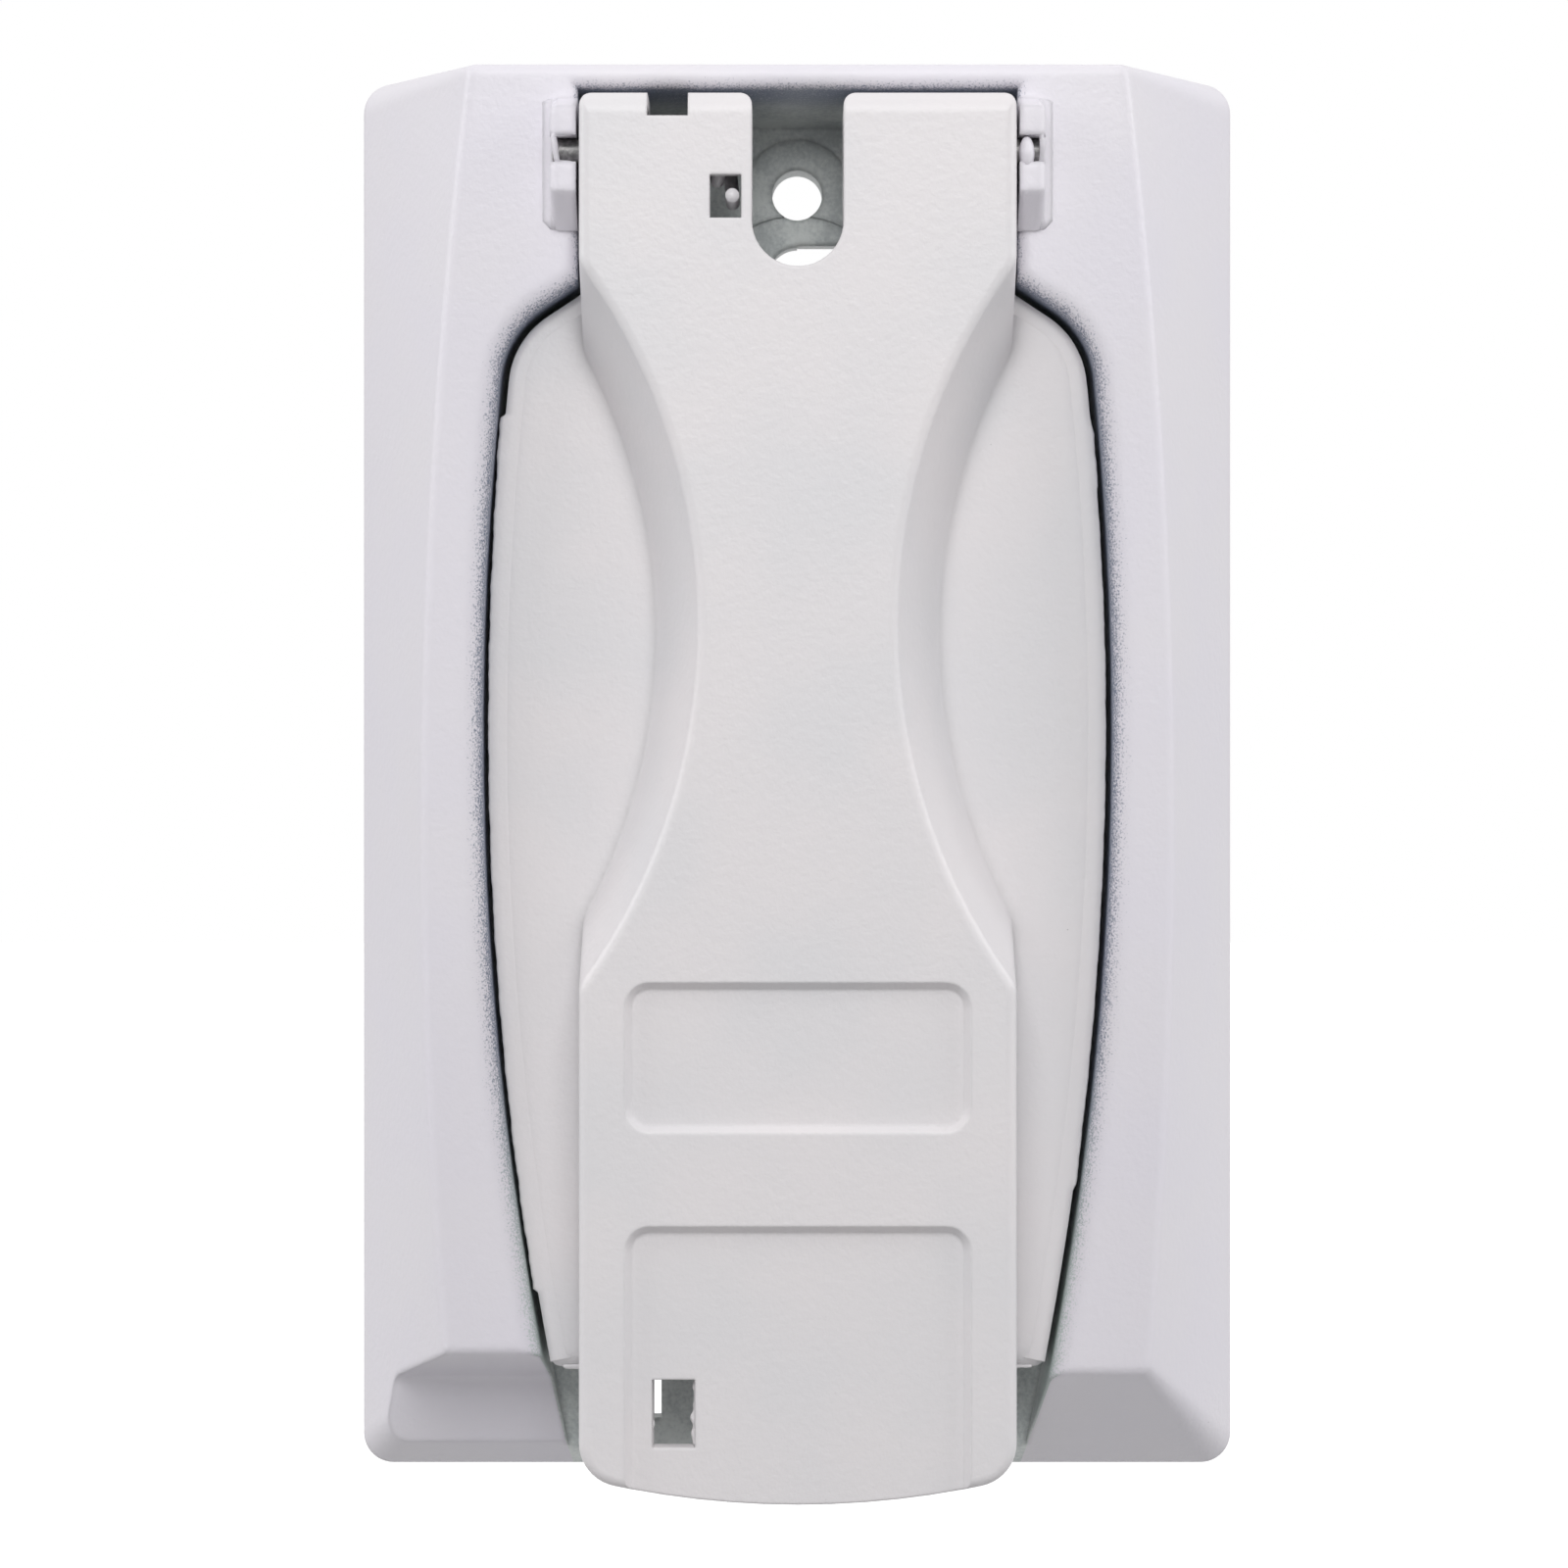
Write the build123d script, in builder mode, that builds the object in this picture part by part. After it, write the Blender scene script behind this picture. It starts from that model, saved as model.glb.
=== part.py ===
from build123d import *
import os
from math import radians, tan

# Weatherproof flip cover for one electrical box, as it hangs on the wall.
# X runs to the right and Z up, seen from the front. The wall is the plane Y = 0 and the
# front faces -Y, so a height off the wall is a distance along -Y. The origin is the centre
# of the back face. All lengths are millimetres.

# Outline of the die-cast base frame: its height follows from the two cover screws
base_width = 73.0
cover_screw_spacing = 96.84
screw_to_end = 9.63
corner_radius = 2.5
rim_height = 3.2
casting_wall = 2.4
crest_radius = 0.8

# Raised face of the base: its edge bulges, and it stands higher at the hood than at the foot
face_top_margin = 0.85
face_bottom_margin = 9.35
face_half_top = 26.4
face_half_middle = 30.3
face_half_bottom = 28.5
hood_height = 20.0
foot_height = 17.5
face_corner_radius = 0.9

# Pocket that the lid closes into
floor_height = 6.0
floor_thickness = 3.0
lid_gap = 0.6
cheek_gap = 0.3
top_gap = 0.95
hood_lean = 5.5
hood_mouth_radius = 0.9
wing_mouth_radius = 1.6

# Stepped lower left corner of the base
step_rise = 8.0
step_drop = 8.5
step_fall = 22.0
step_radius = 2.0
riser_lean = 18.5

# Screw holes and openings in the pocket floor
cover_screw_radius = 2.1
spot_face_radius = 4.6
spot_face_depth = 0.4
boss_radius = 4.0
boss_depth = 1.6
device_screw_spacing = 83.34
device_screw_radius = 2.4
device_width = 35.0
device_height = 69.0
device_corner_radius = 3.0
strap_relief_radius = 8.3
strap_relief_depth = 0.6
side_relief_width = 8.0
side_relief_top_z = 44.2
lock_gap_width = 4.0
lock_gap_height = 6.2
lock_gap_x = -13.35
lock_gap_rise = 7.2

# Hinge
axis_drop = 8.12
axis_setback = 4.2
pin_radius = 1.05
pin_seat_gap = 0.03
pin_running_gap = 0.08
pin_end_gap = 0.15
pin_chamfer = 0.15
ear_width = 2.1
ear_rise = 3.4
ear_above_axis = 3.4
ear_head_run = 1.1
ear_below_axis = 3.4
ear_ramp_run = 2.8
ear_edge_radius = 0.7

# Lid: the wide wing and its skirt
wing_height = 16.4
wing_half_middle = 24.95
wing_middle_z = 1.0
wing_half_bottom = 20.0
wing_rise = 9.65
wing_half_shoulder = 23.1
wing_shoulder_drop = 14.63
wing_neck_half = 13.0
wing_neck_drop = 7.93
wing_shoulder_radius = 7.0
wing_foot_radius = 0.8
wing_edge_radius = 1.1
lid_back_gap = 0.5
lid_wall = 2.2

# Lid: the raised spine, from its foot in the wing to its crest
spine_height = 25.0
spine_foot_height = 13.0
spine_half = 17.45
spine_above_axis = 4.4
spine_side_rise = 1.85
spine_tip_drop = 0.3
spine_corner_radius = 1.2
spine_tip_radius = 3.5
waist_z = 12.3
crest_waist_half = 7.8
crest_bend_drop = 8.93
crest_bend_bottom_z = -17.3
foot_waist_half = 13.1
foot_bend_drop = 18.5
foot_bend_bottom_z = -9.4
bend_radius = 2.5
spine_edge_radius = 0.8
hinge_edge_radius = 1.8
hinge_wall = 1.2
hinge_back_drop = 5.0
pivot_boss_radius = 2.7
pivot_boss_length = 3.0

# Lid: driver notch, spring notch and window, panels and lock slot
driver_half = 3.65
driver_reach = 9.63
driver_corner_radius = 1.2
driver_wall = 0.85
driver_wall_depth = 10.5
spring_notch_width = 3.25
spring_notch_sink = 0.5
window_width = 2.5
window_top_below_axis = 2.33
window_height = 3.45
panel_width = 27.6
panel_depth = 0.8
panel_slope = 35.0
panel_radius = 2.0
upper_panel_top_rise = 41.35
upper_panel_height = 12.0
lower_panel_top_rise = 21.95
lock_slot_width = 3.6
lock_slot_height = 5.6
lock_slot_x = -9.9
lock_slot_rise = 6.95
lock_slot_draft = 6.0

# Closing spring
wire_diameter = 1.12
coil_radius = 2.3
coil_pitch = 1.2
coil_turns = 4.75
coil_start_x = -11.25
coil_gap = 0.25
leg_hole_gap = 0.2
leg_seat_depth = 2.0
leg_seat_gap = 0.3
fixed_leg_turn = 0.8
fixed_leg_bend = 4.0
lid_leg_below_axis = 3.95
lid_leg_bend = 1.0
lid_leg_setback = 0.4

# Foam gasket behind the pocket floor
gasket_gap = 0.3
gasket_hole_gap = 0.6

# Places that follow from the sizes above: drops are taken from the top or the hinge axis,
# rises from the foot of the base
base_height = cover_screw_spacing + 2 * screw_to_end
base_top_z = base_height / 2
base_foot_z = -base_top_z
base_half = base_width / 2
axis_z = base_top_z - axis_drop
axis_height = spine_height - axis_setback
hinge_back_height = axis_height - hinge_back_drop
spine_top_z = axis_z + spine_above_axis
spine_side_bottom_z = base_foot_z + spine_side_rise
spine_tip_z = base_foot_z - spine_tip_drop
crest_bend_top_z = axis_z - crest_bend_drop
foot_bend_top_z = axis_z - foot_bend_drop
wing_shoulder_z = axis_z - wing_shoulder_drop
wing_neck_z = axis_z - wing_neck_drop
wing_bottom_z = base_foot_z + wing_rise
driver_bottom_z = axis_z - driver_reach
upper_panel_top_z = base_foot_z + upper_panel_top_rise
lower_panel_top_z = base_foot_z + lower_panel_top_rise
lock_slot_z = base_foot_z + lock_slot_rise
lock_gap_z = base_foot_z + lock_gap_rise
step_foot_z = base_foot_z + step_rise
face_top_z = base_top_z - face_top_margin
face_bottom_z = face_bottom_margin - base_top_z
face_slope = (hood_height - foot_height) / (face_top_z - face_bottom_z)
face_middle_z = (face_top_z + face_bottom_z) / 2
face_middle_height = (hood_height + foot_height) / 2
pocket_top_z = spine_top_z + top_gap
pocket_half = spine_half + cheek_gap
floor_back = floor_height - floor_thickness
lid_back = floor_height + lid_back_gap
cover_screw_z = cover_screw_spacing / 2
device_screw_z = device_screw_spacing / 2
cheek_inner = spine_half - lid_wall
driver_cheek = driver_half + driver_wall
coil_outer = coil_radius + wire_diameter / 2
past = 5.0


def facing(height):
    """The plane parallel to the wall at a height off it, with X to the right and Z up."""
    return Plane.XZ.offset(height)


def face_height(z):
    """Height of the sloping raised face of the base above the wall at height z."""
    return face_middle_height + face_slope * (z - face_middle_z)


def face_plane(sink):
    """The plane of the raised face, sunk by a wall thickness."""
    return Plane(
        origin=(0, sink - face_height(0), 0),
        x_dir=(1, 0, 0),
        z_dir=(0, -1, -face_slope),
    )


def rim_outline(inset):
    """The base's outer rectangle with rounded corners, drawn inset by a wall."""
    with BuildSketch() as rim:
        Rectangle(base_width - 2 * inset, base_height - 2 * inset)
        fillet(rim.vertices(), corner_radius)
    return rim.sketch_local


def face_outline(inset):
    """The raised face's outline: straight ends and bulging sides, inset by a wall."""
    top = face_top_z - inset
    bottom = face_bottom_z + inset
    half_top = face_half_top - inset
    half_bottom = face_half_bottom - inset
    middle = ((top + bottom) / 2, face_half_middle - inset)
    with BuildSketch() as face:
        with BuildLine():
            Line((-half_top, top), (half_top, top))
            ThreePointArc((half_top, top), (middle[1], middle[0]), (half_bottom, bottom))
            Line((half_bottom, bottom), (-half_bottom, bottom))
            ThreePointArc((-half_bottom, bottom), (-middle[1], middle[0]), (-half_top, top))
        make_face()
        fillet(face.vertices(), face_corner_radius)
    return face.sketch_local


def wing_outline(grow, tail):
    """The wing's edge, grown outwards; a tail carries its bulging sides on past the foot."""
    with BuildSketch() as wing:
        with BuildLine():
            side = ThreePointArc(
                (wing_half_bottom, wing_bottom_z),
                (wing_half_middle, wing_middle_z),
                (wing_half_shoulder, wing_shoulder_z),
            )
            foot = side @ 0 - (side % 0) * tail
            if tail:
                Line(foot, side @ 0)
            Line((0, foot.Y), foot)
            Line(side @ 1, (wing_neck_half, wing_neck_z))
            Line((wing_neck_half, wing_neck_z), (0, wing_neck_z))
            mirror(about=Plane.YZ)
        make_face()
        upper = wing.vertices().filter_by_position(Axis.Y, wing_middle_z, wing_neck_z)
        fillet(upper.group_by(Axis.Y)[0], wing_shoulder_radius)
        if not tail:
            fillet(wing.vertices().group_by(Axis.Y)[0], wing_foot_radius)
        if grow:
            offset(amount=grow, kind=Kind.INTERSECTION)
    return wing.sketch_local


def wing_bay_outline(grow):
    """The pocket round the wing, carried out past the foot of the base."""
    return wing_outline(lid_gap + grow, base_top_z + wing_bottom_z + past)


def hinge_bay_outline(grow):
    """The pocket between the ears, up under the hood."""
    with BuildSketch() as bay:
        with Locations((0, pocket_top_z + grow)):
            Rectangle(
                2 * (pocket_half + grow),
                pocket_top_z + grow - wing_middle_z,
                align=(Align.CENTER, Align.MAX),
            )
    return bay.sketch_local


def pocket_outline(grow):
    """The whole pocket's mouth."""
    with BuildSketch() as pocket:
        add(wing_bay_outline(grow))
        add(hinge_bay_outline(grow))
    return pocket.sketch_local


def rounded_bay(outline, radius):
    """A block as high as the raised face, with a bay sunk in it that has a rounded mouth."""
    with BuildPart() as block:
        with BuildSketch(face_plane(0)):
            Rectangle(2 * base_width, 2 * base_height)
        extrude(amount=-hood_height - past)
        with BuildSketch(facing(hood_height + past)):
            add(outline)
        extrude(amount=floor_height - hood_height - past, mode=Mode.SUBTRACT)
        top = block.faces().sort_by(Axis.Y)[0]
        fillet(top.inner_wires()[0].edges(), radius)
    return block.part


def spine_outline(waist_half, bend_top_z, bend_bottom_z, inset):
    """The spine's outline at one height: a waist between straight ends, and a bowed tip."""
    with BuildSketch() as spine:
        with BuildLine():
            Line((0, spine_top_z), (spine_half, spine_top_z))
            Line((spine_half, spine_top_z), (spine_half, bend_top_z))
            ThreePointArc(
                (spine_half, bend_top_z),
                (waist_half, waist_z),
                (spine_half, bend_bottom_z),
            )
            Line((spine_half, bend_bottom_z), (spine_half, spine_side_bottom_z))
            ThreePointArc(
                (spine_half, spine_side_bottom_z),
                (0, spine_tip_z),
                (-spine_half, spine_side_bottom_z),
            )
            Line((-spine_half, spine_side_bottom_z), (-spine_half, bend_bottom_z))
            ThreePointArc(
                (-spine_half, bend_bottom_z),
                (-waist_half, waist_z),
                (-spine_half, bend_top_z),
            )
            Line((-spine_half, bend_top_z), (-spine_half, spine_top_z))
            Line((-spine_half, spine_top_z), (0, spine_top_z))
        make_face()
        levels = spine.vertices().group_by(Axis.Y)
        fillet(levels[-1].sort_by(Axis.X)[0], spine_corner_radius)
        fillet(spine.vertices().group_by(Axis.Y)[-1].sort_by(Axis.X)[-1], spine_corner_radius)
        fillet(spine.vertices().group_by(Axis.Y)[0], spine_tip_radius)
        bends = spine.vertices().filter_by_position(
            Axis.Y, bend_bottom_z - bend_radius, bend_top_z + bend_radius
        )
        fillet(bends, bend_radius)
        if inset:
            offset(amount=-inset, kind=Kind.INTERSECTION)
    return spine.sketch_local


def driver_outline(grow):
    """The U-shaped notch in the spine's top, open upwards."""
    half = driver_half + grow
    centre_z = driver_bottom_z + driver_half
    with BuildSketch() as notch:
        with Locations((0, centre_z)):
            Circle(half)
        with Locations((0, (centre_z + spine_top_z) / 2)):
            Rectangle(2 * half, spine_top_z - centre_z)
        with Locations((0, spine_top_z)):
            Rectangle(2 * spine_half, past, align=(Align.CENTER, Align.MIN))
        corners = notch.vertices().group_by(Axis.Y)[-2].sort_by(Axis.X)
        fillet(corners[1:-1], driver_corner_radius)
    return notch.sketch_local


def step_profile(inset):
    """Side view of what the corner step removes, in Y and Z, kept clear of a wall."""
    foot_z = step_foot_z + inset
    ledge = face_height(step_foot_z) - step_drop - inset
    end_z = -base_top_z - past
    top = hood_height + past
    with BuildSketch() as side:
        with BuildLine():
            Polyline(
                (-top, foot_z + (top - ledge) * tan(radians(riser_lean))),
                (-ledge, foot_z),
                (-ledge + (foot_z - end_z) * tan(radians(step_fall)), end_z),
                (-top, end_z),
                close=True,
            )
        make_face()
        fillet(side.vertices().sort_by_distance((-ledge, foot_z))[0], step_radius)
    return side.sketch_local


def seal_outline(inset):
    """The space behind the pocket floor that the gasket fills."""
    with BuildSketch() as seal:
        add(pocket_outline(-inset))
        half_height = base_top_z - casting_wall - inset
        Rectangle(base_width, 2 * half_height, mode=Mode.INTERSECT)
    return seal.sketch_local


def device_outline(grow):
    """The opening for the wiring device, with a relief beside its upper screw."""
    with BuildSketch() as opening:
        RectangleRounded(
            device_width + 2 * grow, device_height + 2 * grow, device_corner_radius
        )
        with Locations((side_relief_width / 2, side_relief_top_z / 2 + grow)):
            Rectangle(side_relief_width + grow, side_relief_top_z)
        with Locations((0, device_screw_z), (0, -device_screw_z)):
            Circle(device_screw_radius + grow)
    return opening.sketch_local


# Hollow behind the base casting, outside the pocket's own wall
with BuildPart() as base_hollow:
    with BuildSketch(facing(0)):
        add(rim_outline(casting_wall))
    with BuildSketch(face_plane(casting_wall)):
        add(face_outline(casting_wall))
    loft()
    with BuildSketch(facing(-past)):
        add(pocket_outline(casting_wall))
    extrude(amount=hood_height + 2 * past, mode=Mode.SUBTRACT)
    with BuildSketch(Plane.YZ.offset(-base_half)):
        add(step_profile(casting_wall))
    extrude(amount=base_half, mode=Mode.SUBTRACT)

# Ear that carries a hinge pin, with a ramp up to it
ear_sink = face_height(axis_z) - casting_wall
ear_top = face_height(axis_z) + ear_rise
shoulder_z = axis_z - ear_below_axis
with BuildPart() as ear:
    with BuildSketch(Plane.YZ.offset(pocket_half)):
        with BuildLine():
            Polyline(
                (-ear_sink, shoulder_z - ear_ramp_run),
                (-face_height(axis_z), shoulder_z - ear_ramp_run),
                (-ear_top, shoulder_z),
                (-ear_top, axis_z + ear_above_axis),
                (-face_height(axis_z), axis_z + ear_above_axis + ear_head_run),
                (-ear_sink, axis_z + ear_above_axis + ear_head_run),
                close=True,
            )
        make_face()
    extrude(amount=ear_width)
    fillet(ear.faces().sort_by(Axis.X)[-1].edges(), ear_edge_radius)

# Base frame: sloping sides up to the raised face, and a pocket for the lid
with BuildPart() as base_frame:
    with BuildSketch(facing(0)):
        add(rim_outline(0))
    extrude(amount=rim_height)
    with BuildSketch(facing(rim_height)):
        add(rim_outline(0))
    with BuildSketch(face_plane(0)):
        add(face_outline(0))
    loft()
    with BuildSketch(Plane.YZ.offset(-base_half - past)):
        add(step_profile(0))
    extrude(amount=base_half, mode=Mode.SUBTRACT)
    fillet(base_frame.faces().sort_by(Axis.Y)[0].edges(), crest_radius)
    add(base_hollow.part, mode=Mode.SUBTRACT)
    add(rounded_bay(wing_bay_outline(0), wing_mouth_radius), mode=Mode.INTERSECT)
    add(rounded_bay(hinge_bay_outline(0), hood_mouth_radius), mode=Mode.INTERSECT)

    # The hood's back wall leans
    lean = (hood_height - floor_height) * tan(radians(hood_lean))
    with BuildSketch(Plane.YZ.offset(-pocket_half)):
        with BuildLine():
            Polyline(
                (-floor_height, pocket_top_z - lean),
                (-hood_height + hood_mouth_radius, pocket_top_z),
                (-floor_height, pocket_top_z),
                close=True,
            )
        make_face()
    extrude(amount=2 * pocket_half)

    # Pocket floor: gasket space and screw bosses behind it, holes through it
    with BuildSketch(facing(0)):
        add(seal_outline(0))
    extrude(amount=floor_back, mode=Mode.SUBTRACT)
    with BuildSketch(facing(floor_back - boss_depth)):
        with GridLocations(0, cover_screw_spacing, 1, 2):
            Circle(boss_radius)
    extrude(amount=boss_depth)
    with BuildSketch(facing(floor_height)):
        with GridLocations(0, cover_screw_spacing, 1, 2):
            Circle(spot_face_radius)
    extrude(amount=-spot_face_depth, mode=Mode.SUBTRACT)
    with BuildSketch(facing(floor_height)):
        with Locations((0, side_relief_top_z - strap_relief_radius + past / 2)):
            Circle(strap_relief_radius)
    extrude(amount=-strap_relief_depth, mode=Mode.SUBTRACT)
    with BuildSketch(facing(0)):
        add(device_outline(0))
        with GridLocations(0, cover_screw_spacing, 1, 2):
            Circle(cover_screw_radius)
        with Locations((lock_gap_x, lock_gap_z)):
            Rectangle(lock_gap_width, lock_gap_height)
    extrude(amount=floor_height, mode=Mode.SUBTRACT)
    with BuildSketch(facing(floor_height)):
        with Locations((coil_start_x, axis_z - coil_radius)):
            Circle(wire_diameter / 2 + leg_hole_gap)
    extrude(amount=-leg_seat_depth, mode=Mode.SUBTRACT)

    # An ear on either side of the hinge, and the pins' slots
    add(ear.part)
    mirror(ear.part, about=Plane.YZ)
    with BuildSketch(Plane.YZ):
        with Locations((-axis_height, axis_z)):
            Circle(pin_radius + pin_seat_gap)
        with Locations((-axis_height - past / 2, axis_z)):
            Rectangle(past, 2 * (pin_radius + pin_seat_gap))
    extrude(amount=pocket_half + ear_width, both=True, mode=Mode.SUBTRACT)
base_frame.part.label = "base_frame"

# Hollow inside the lid: under the wing and up into the spine
with BuildPart() as lid_hollow:
    with BuildSketch(facing(0)):
        add(wing_outline(-lid_wall, 0))
    extrude(amount=wing_height - lid_wall)
    with BuildSketch(facing(0)):
        add(spine_outline(foot_waist_half, foot_bend_top_z, foot_bend_bottom_z, lid_wall))
    extrude(amount=spine_foot_height)
    with BuildSketch(facing(spine_foot_height)):
        add(spine_outline(foot_waist_half, foot_bend_top_z, foot_bend_bottom_z, lid_wall))
    with BuildSketch(facing(spine_height - lid_wall)):
        add(spine_outline(crest_waist_half, crest_bend_top_z, crest_bend_bottom_z, lid_wall))
    loft(ruled=True)
    with BuildSketch(facing(0)):
        with Locations((0, axis_z)):
            Rectangle(2 * cheek_inner, 2 * (spine_top_z - hinge_wall - axis_z))
    extrude(amount=axis_height + coil_outer + coil_gap)
    with BuildSketch(facing(spine_height - driver_wall_depth)):
        add(driver_outline(driver_wall))
    extrude(amount=driver_wall_depth, mode=Mode.SUBTRACT)
    with BuildSketch(Plane.YZ.offset(cheek_inner - pivot_boss_length)):
        with Locations((-axis_height, axis_z)):
            Circle(pivot_boss_radius)
    extrude(amount=pivot_boss_length + past, mode=Mode.SUBTRACT)

# Lid: wing and spine outside, then the hollow and the openings
with BuildPart() as flip_lid:
    with BuildSketch(facing(lid_back)):
        add(wing_outline(0, 0))
    extrude(amount=wing_height - lid_back)
    fillet(flip_lid.edges().group_by(Axis.Y)[0], wing_edge_radius)
    with BuildSketch(facing(spine_foot_height)):
        add(spine_outline(foot_waist_half, foot_bend_top_z, foot_bend_bottom_z, 0))
    with BuildSketch(facing(spine_height)):
        add(spine_outline(crest_waist_half, crest_bend_top_z, crest_bend_bottom_z, 0))
    loft(ruled=True)
    crown = flip_lid.faces().filter_by(Axis.Y).sort_by(Axis.Y)[0]
    fillet(crown.edges(), spine_edge_radius)
    with BuildSketch(Plane.YZ.offset(-spine_half - past)):
        with Locations((-spine_height, spine_top_z)):
            Rectangle(2 * hinge_edge_radius, 2 * hinge_edge_radius)
        with Locations((hinge_edge_radius - spine_height, spine_top_z - hinge_edge_radius)):
            Circle(hinge_edge_radius, mode=Mode.SUBTRACT)
    extrude(amount=2 * (spine_half + past), mode=Mode.SUBTRACT)
    add(lid_hollow.part, mode=Mode.SUBTRACT)
    # Room behind the hinge for the lid's heel to swing
    with BuildSketch(facing(0)):
        with Locations((0, wing_neck_z + past * 2)):
            Rectangle(2 * spine_half + past, past * 4)
    extrude(amount=hinge_back_height, mode=Mode.SUBTRACT)
    # Notch for the screwdriver
    with BuildSketch(facing(spine_foot_height)):
        add(driver_outline(0))
    extrude(amount=spine_height, mode=Mode.SUBTRACT)
    # Notch that lets the spring's fixed leg pass as the lid swings up
    with BuildSketch(facing(0)):
        with Locations((coil_start_x - wire_diameter / 2 - leg_hole_gap, spine_top_z)):
            Rectangle(
                spring_notch_width,
                2 * (spine_top_z - axis_z - coil_outer + spring_notch_sink),
                align=(Align.MIN, Align.CENTER),
            )
    extrude(amount=spine_height, mode=Mode.SUBTRACT)
    # Window for the spring's moving leg
    with BuildSketch(facing(axis_height)):
        with Locations((-driver_cheek, axis_z - window_top_below_axis)):
            Rectangle(window_width, window_height, align=(Align.MAX, Align.MAX))
    extrude(amount=spine_height, mode=Mode.SUBTRACT)
    # Pivot holes
    with BuildSketch(Plane.YZ.offset(-spine_half)):
        with Locations((-axis_height, axis_z)):
            Circle(pin_radius + pin_running_gap)
    extrude(amount=spine_half, mode=Mode.SUBTRACT)
    with BuildSketch(Plane.YZ.offset(spine_half)):
        with Locations((-axis_height, axis_z)):
            Circle(pin_radius + pin_running_gap)
    extrude(amount=-lid_wall - pivot_boss_length, mode=Mode.SUBTRACT)
    # Recessed panels on the spine
    with BuildSketch(facing(spine_height)):
        with Locations((0, upper_panel_top_z - upper_panel_height / 2)):
            RectangleRounded(panel_width, upper_panel_height, panel_radius)
    extrude(amount=-panel_depth, taper=panel_slope, mode=Mode.SUBTRACT)
    with BuildSketch(facing(spine_height)):
        with Locations((0, lower_panel_top_z)):
            RectangleRounded(
                panel_width,
                2 * (lower_panel_top_z - spine_tip_z),
                panel_radius,
                align=(Align.CENTER, Align.MAX),
            )
    extrude(amount=-panel_depth, taper=panel_slope, mode=Mode.SUBTRACT)
    # Slot for a lock
    with BuildSketch(facing(spine_height)):
        with Locations((lock_slot_x, lock_slot_z)):
            Rectangle(lock_slot_width, lock_slot_height)
    extrude(amount=-2 * lid_wall, taper=lock_slot_draft, mode=Mode.SUBTRACT)
flip_lid.part.label = "flip_lid"

# Hinge pins: the left one also carries the coil and ends in the driver notch's cheek
pin_outer_x = pocket_half + ear_width - pin_end_gap
with BuildPart() as hinge_pin_left:
    with BuildSketch(Plane.YZ.offset(-pin_outer_x)):
        with Locations((-axis_height, axis_z)):
            Circle(pin_radius)
    extrude(amount=pin_outer_x - driver_half - pin_end_gap)
    chamfer(hinge_pin_left.edges().filter_by(GeomType.CIRCLE), pin_chamfer)
hinge_pin_left.part.label = "hinge_pin_left"

with BuildPart() as hinge_pin_right:
    with BuildSketch(Plane.YZ.offset(pin_outer_x)):
        with Locations((-axis_height, axis_z)):
            Circle(pin_radius)
    extrude(amount=cheek_inner - pivot_boss_length + pin_end_gap - pin_outer_x)
    chamfer(hinge_pin_right.edges().filter_by(GeomType.CIRCLE), pin_chamfer)
hinge_pin_right.part.label = "hinge_pin_right"

# Closing spring: a left-hand coil round the left pin, a leg to the floor and one to the lid
coil_plane = Plane(
    origin=(coil_start_x, -axis_height, axis_z),
    x_dir=(0, 0, -1),
    z_dir=(1, 0, 0),
)
coil_line = coil_plane * Helix(coil_pitch, coil_pitch * coil_turns, coil_radius, lefthand=True)
coil_start = coil_line @ 0
coil_end = coil_line @ 1
start_way = coil_line % 0
end_way = coil_line % 1
with BuildPart() as closing_spring:
    with BuildSketch(Plane(origin=coil_start, z_dir=start_way)):
        Circle(wire_diameter / 2)
    sweep(path=coil_line, is_frenet=True)
    # Leg that stands in the pocket floor
    fixed_corner = coil_start - start_way * fixed_leg_turn
    fixed_tip = Vector(
        fixed_corner.X, leg_seat_depth - leg_seat_gap - floor_height, fixed_corner.Z
    )
    with BuildLine() as fixed_leg:
        FilletPolyline(coil_start, fixed_corner, fixed_tip, radius=fixed_leg_bend)
    with BuildSketch(Plane(origin=coil_start, z_dir=start_way)):
        Circle(wire_diameter / 2)
    sweep(path=fixed_leg.line)
    # Leg that presses on the lid
    lid_corner = coil_end + end_way * lid_leg_below_axis
    lid_tip = Vector(lid_corner.X, lid_leg_setback - spine_height, lid_corner.Z)
    with BuildLine() as lid_leg:
        FilletPolyline(coil_end, lid_corner, lid_tip, radius=lid_leg_bend)
    with BuildSketch(Plane(origin=coil_end, z_dir=end_way)):
        Circle(wire_diameter / 2)
    sweep(path=lid_leg.line)
closing_spring.part.label = "closing_spring"

# Foam gasket in the space behind the pocket floor, flush with the back of the rim
with BuildPart() as box_gasket:
    with BuildSketch(facing(0)):
        add(seal_outline(gasket_gap))
        add(device_outline(gasket_hole_gap), mode=Mode.SUBTRACT)
        with GridLocations(0, cover_screw_spacing, 1, 2):
            Circle(boss_radius + gasket_gap, mode=Mode.SUBTRACT)
        with Locations((lock_gap_x, lock_gap_z)):
            Rectangle(
                lock_gap_width + 2 * gasket_hole_gap,
                lock_gap_height + 2 * gasket_hole_gap,
                mode=Mode.SUBTRACT,
            )
    extrude(amount=floor_back)
box_gasket.part.label = "box_gasket"

os.makedirs("parts", exist_ok=True)
for piece in (
    base_frame,
    flip_lid,
    hinge_pin_left,
    hinge_pin_right,
    closing_spring,
    box_gasket,
):
    export_step(piece.part, f"parts/{piece.part.label}.step")
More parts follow.
